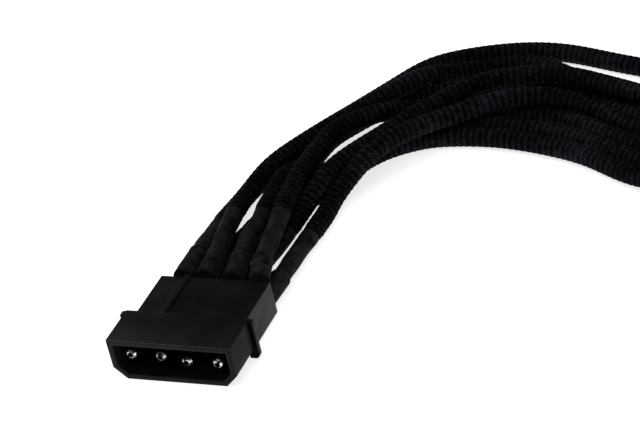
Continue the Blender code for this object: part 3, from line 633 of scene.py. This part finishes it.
# The colour repeats the mesh's weave: the crowns of the yarns get a painted glint, lighter than their
# edges.
braid = Finish("braided_yarn", Specular_IOR_Level=0.012)
map_place = braid.node('UVMap', {'uv_map': "around_and_along"})
turns = braid.node('SeparateXYZ', Vector=map_place)
metres = braid.node('SeparateXYZ', output=1, Vector=map_place)
yarns_across = turns * float(yarn_pairs)
yarns_along = (metres - sleeve_inset) * (1.0 / yarn_step)
right_run = yarns_across + yarns_along
left_run = yarns_across - yarns_along
right_wave = ((right_run + 0.5) * math.pi).sine()
left_wave = (left_run * math.pi).sine()
right_is_over = (right_wave * left_wave).above(0.0)
painted_crown_glint = right_wave.size() * right_is_over + left_wave.size() * (1.0 - right_is_over)
fibre = (right_run * fibre_rate).sine() * (left_run * fibre_rate).sine()
tone = braid.noise(scale=900.0, detail=4.0)
stretches = braid.noise(scale=70.0, detail=1.0)
rib_wave = (metres * (2.0 * math.pi / rib_spacing)).sine()
# Painted glints on the yarn crowns, with random tone, ribbing and darker stretches, set the base colour.
light = 0.48 * painted_crown_glint + 0.75 * tone + 0.12 * rib_wave + 0.5 * (stretches - 0.5)
braid.shade(light, (0.46, (0.0014, 0.0016, 0.0022)), (0.76, (0.0048, 0.0058, 0.0072)),
            (1.0, (0.0280, 0.0320, 0.0390)))
braid.feed('Roughness', 0.40 + 0.22 * tone)
braid.bump(fibre + tone, 0.03 * MM, 0.6)

lines = {}
sleeves = {}
ring_yarns = yarn_pairs * np.arange(ring_sides) / ring_sides
for label, knots in routes.items():
    number = int(label[0])
    socket = socket_of[label]
    start_x = contact_x(number) + side_steps.get(label, 0.0)
    start = (start_x, back_y + line_gap, layer_height[label[2:]])
    end = (socket_rear_x - line_gap, socket_contact_y(socket, number), socket_axis_height[socket])
    line = smooth_line([start] + [tuple(value * MM for value in knot) for knot in knots] + [end])
    lines[label] = line
    length = line[1][-1]
    rows = int((length - 2.0 * sleeve_inset) / ring_step)
    distances = sleeve_inset + ring_step * np.arange(rows + 1)
    relief = np.array([braid_height(ring_yarns + weave_shift, row / rows_per_yarn + weave_shift)
                       for row in range(rows + 1)])
    from_end = np.minimum(distances, length - distances)
    swell = np.clip((from_end - taper_start) / taper_length, 0.0, 1.0)
    pinch = pinched_radius + (sleeve_radius - pinched_radius) * swell * swell * (3.0 - 2.0 * swell)
    radii = pinch[:, None] - relief_below * yarn_relief + yarn_relief * relief
    radii += rib_relief * np.sin(2.0 * math.pi * distances / rib_spacing)[:, None]
    sleeve = swept_skin("sleeve_" + label, line, distances, radii, ring_sides)
    sleeve.data.materials.append(braid.material)
    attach(sleeve, "root")
    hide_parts("sleeved_wire_" + label)
    sleeves[label] = sleeve, places_on(line, distances)


# Heat-shrinks: matte black polyolefin, shrunk over both ends of every braid so that it can't
# fray. A second, wider tube over the first makes the step that shows near the housing.
shrink = Finish("heat_shrink", Specular_IOR_Level=0.01)
ripple = shrink.noise(scale=520.0, detail=6.0, roughness=0.65)
shrink.shade(ripple, (0.36, (0.0050, 0.0056, 0.0068)), (0.68, (0.0260, 0.0275, 0.0310)))
shrink.feed('Roughness', 0.50 + 0.16 * ripple)
shrink.bump(ripple, 0.05 * MM, 0.6)

# Places along a heat-shrink and its radius there, in millimetres, as are the step's values.
shrink_profile = [
    (-0.3, 1.70), (-0.22, 1.79), (-0.05, 1.85), (0.5, 1.87), (2.0, 1.85), (4.0, 1.79), (6.0, 1.81),
    (7.1, 1.86), (7.35, 1.84), (7.5, 1.70), (7.7, 1.60), (9.0, 1.57), (11.0, 1.58), (14.0, 1.60),
    (17.0, 1.61), (19.1, 1.66), (19.4, 1.64), (19.5, 1.56),
]
step_place = 7.4
step_spread = 2.5
step_shift = 0.9
oval_share = 0.022
lobed_share = 0.012
shrink_sides = 32
angles = 2.0 * math.pi * np.arange(shrink_sides) / shrink_sides

for label, line in lines.items():
    length = line[1][-1]
    for end_name in ("pin_end", "socket_end"):
        seed = 7 * int(label[0])
        seed += 3 if label.endswith("upper") else 0
        seed += 1 if end_name == "pin_end" else 0
        stations = np.array([station for station, radius in shrink_profile])
        near_step = np.exp(-(((stations - step_place) / step_spread) ** 2))
        stations += step_shift * math.sin(1.7 * seed) * near_step
        fine = np.unique(np.concatenate((stations, np.arange(0.5, 19.0, 0.5))))
        radii = np.interp(fine, stations, [radius for station, radius in shrink_profile])
        oval = np.outer(np.sin(0.9 * fine + seed), np.cos(2.0 * angles + 0.7 * seed))
        lobed = np.outer(np.sin(2.3 * fine + 2 * seed), np.cos(3.0 * angles + seed))
        radii = radii[:, None] * (1.0 + oval_share * oval + lobed_share * lobed) * MM
        distances = fine * MM
        if end_name == "socket_end":
            distances = length - distances[::-1]
            radii = radii[::-1]
        piece = swept_skin(end_name + "_sleeve_" + label, line, distances, radii, shrink_sides)
        piece.data.materials.append(shrink.material)
        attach(piece, "root")
        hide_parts(end_name + "_shrink_" + label)


# Insulated leads: the bare ends of the eight wires between the heat-shrinks and the crimps. Their
# solids are shown as they are, in a smooth black plastic.
insulation = Finish("wire_insulation", Specular_IOR_Level=0.15)
mottle = insulation.noise(scale=800.0)
insulation.shade(mottle, (0.3, (0.006, 0.006, 0.007)), (0.8, (0.010, 0.010, 0.011)))
insulation.feed('Roughness', 0.36 + 0.1 * mottle)


def dress(marker, finish):
    """Give a finish to each solid that is shown as it is and has the marker in its name."""
    for name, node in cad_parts.items():
        if marker in name:
            node.data.materials.clear()
            node.data.materials.append(finish.material)


dress("_lead_", insulation)


# Socket housings: the same black nylon. A nose that slides into a shroud carries four round
# bores, and the grip behind it has three finger grooves on each side. One of the pair lies
# upside down, as it falls when the wires are laid out.
nose_length = 7.2 * MM
nose_inset = 1.2 * MM
nose_lip = 0.05 * MM
groove_pitch = 2.6 * MM
groove_width = 1.2 * MM
groove_depth = 0.7 * MM
groove_low_z = 2.4 * MM
groove_high_z = 9.0 * MM
socket_bore_radius = 1.55 * MM
socket_bore_end = 10.5 * MM
socket_bay_radius = 2.0 * MM
socket_bay_start = 10.0 * MM
socket_soft_corner = 0.14 * MM
for socket, centre_y in socket_centre_y.items():
    front_x = socket_rear_x + socket_length
    body = keyed_block("socket_shell_" + socket, (-half_shroud, nose_length, 0.0),
                       (half_shroud, socket_length, shroud_height), cut_corner)
    pick_faces(body, lambda centre, normal: normal.y < -0.9)
    bpy.ops.mesh.extrude_region_move(TRANSFORM_OT_translate={"value": (0.0, -nose_lip, 0.0)})
    bpy.ops.mesh.inset(thickness=nose_inset)
    bpy.ops.mesh.extrude_region_move(TRANSFORM_OT_translate={"value": (0.0, nose_lip - nose_length, 0.0)})
    leave_edit()
    for side in (-1.0, 1.0):
        low_x, high_x = sorted((side * (half_shroud - groove_depth), side * (half_shroud + overrun)))
        for index in range(3):
            start_y = nose_length + groove_pitch + index * groove_pitch
            groove = block("groove", (low_x, start_y, groove_low_z),
                           (high_x, start_y + groove_width, groove_high_z))
            combine(body, groove, 'DIFFERENCE')
    for number in contact_numbers:
        x = contact_x(number)
        bore = rod("bore", socket_bore_radius, -overrun, socket_bore_end, x, contact_height)
        combine(body, bore, 'DIFFERENCE')
        bay = rod("bay", socket_bay_radius, socket_bay_start, socket_length + overrun, x, contact_height)
        combine(body, bay, 'DIFFERENCE')
    soften(body, socket_soft_corner)
    placing = Matrix.Translation((front_x, centre_y, 0.0)) @ Matrix.Rotation(math.pi / 2, 4, 'Z')
    if socket == "b":
        over = Matrix.Translation((0.0, 0.0, shroud_height)) @ Matrix.Rotation(math.pi, 4, 'Y')
        placing = placing @ over
    body.data.transform(placing)
    body.data.materials.clear()
    body.data.materials.append(nylon.material)
    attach(body, "root")
    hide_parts("socket_housing_" + socket)


# Socket contacts: rolled tin-plated tubes, set back in the bores, that spring onto the pins.
# Little of them can be seen, so their solids are shown as they are.
dress("socket_contact_", tin)


# For each wire, its two leads and its socket contact are looked up among the model's solids.
for label, (sleeve, path) in sleeves.items():
    number = int(label[0])
    socket = socket_of[label]
    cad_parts["pin_end_lead_" + label]
    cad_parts["socket_end_lead_" + label]
    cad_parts["socket_contact_%s%d" % (socket, number)]


# Table top: plain, pale and matt, and large enough to fill the picture behind the cable.
bpy.ops.object.select_all(action='DESELECT')
bpy.ops.mesh.primitive_plane_add(size=6.0, location=(0.0, 0.0, 0.0))
table = bpy.context.object
table.name = "table_top"
paper = Finish("pale_table", Base_Color=(0.93, 0.93, 0.93, 1.0), Roughness=0.9, Specular_IOR_Level=0.0,
               Emission_Color=(1.0, 1.0, 1.0, 1.0), Emission_Strength=0.75)
table.data.materials.append(paper.material)


# Studio light: a wide soft box overhead, a smaller one low behind the left side, a weak one in
# front of the right side, and a dim even surround.
def soft_box(name, place, target, side, power):
    """A square area light that faces its target."""
    lamp = bpy.data.lights.new(name, 'AREA')
    lamp.shape = 'RECTANGLE'
    lamp.size = side
    lamp.size_y = side
    lamp.energy = power
    holder = bpy.data.objects.new(name, lamp)
    bpy.context.scene.collection.objects.link(holder)
    holder.location = place
    holder.rotation_euler = (Vector(target) - Vector(place)).to_track_quat('-Z', 'Y').to_euler()


soft_box("overhead_box", place=(0.05, 0.0, 1.3), target=(0.05, 0.05, 0.0), side=1.8, power=8.0)
soft_box("right_box", place=(0.9, -0.5, 0.6), target=(0.0, 0.05, 0.0), side=0.9, power=0.8)
soft_box("left_box", place=(-0.9, 0.25, 0.55), target=(0.0, 0.05, 0.0), side=0.7, power=4.0)

surround = bpy.data.worlds.new("studio")
surround.use_nodes = True
background = surround.node_tree.nodes["Background"]
background.inputs["Color"].default_value = (1.0, 1.0, 1.0, 1.0)
background.inputs["Strength"].default_value = 0.10
bpy.context.scene.world = surround
bpy.context.scene.view_settings.view_transform = 'Standard'


# Camera: a long lens 32 degrees above the table, to the right of the connector's mouth and
# rolled by 13 degrees, with the perspective worked out from the photograph.
lens = bpy.data.cameras.new("photo_camera")
lens.sensor_width = 36.0
lens.lens = 140.625
lens.clip_start = 0.01
camera = bpy.data.objects.new("photo_camera", lens)
bpy.context.scene.collection.objects.link(camera)
camera_place = Vector((184.76, -290.34, 235.14)) * MM
camera_right = Vector((0.91409, 0.3554, -0.19528))
camera_up = Vector((-0.04328, 0.56431, 0.82443))
camera_back = camera_right.cross(camera_up)
axes = Matrix((camera_right, camera_up, camera_back)).transposed().to_4x4()
camera.matrix_world = Matrix.Translation(camera_place) @ axes
bpy.context.scene.camera = camera
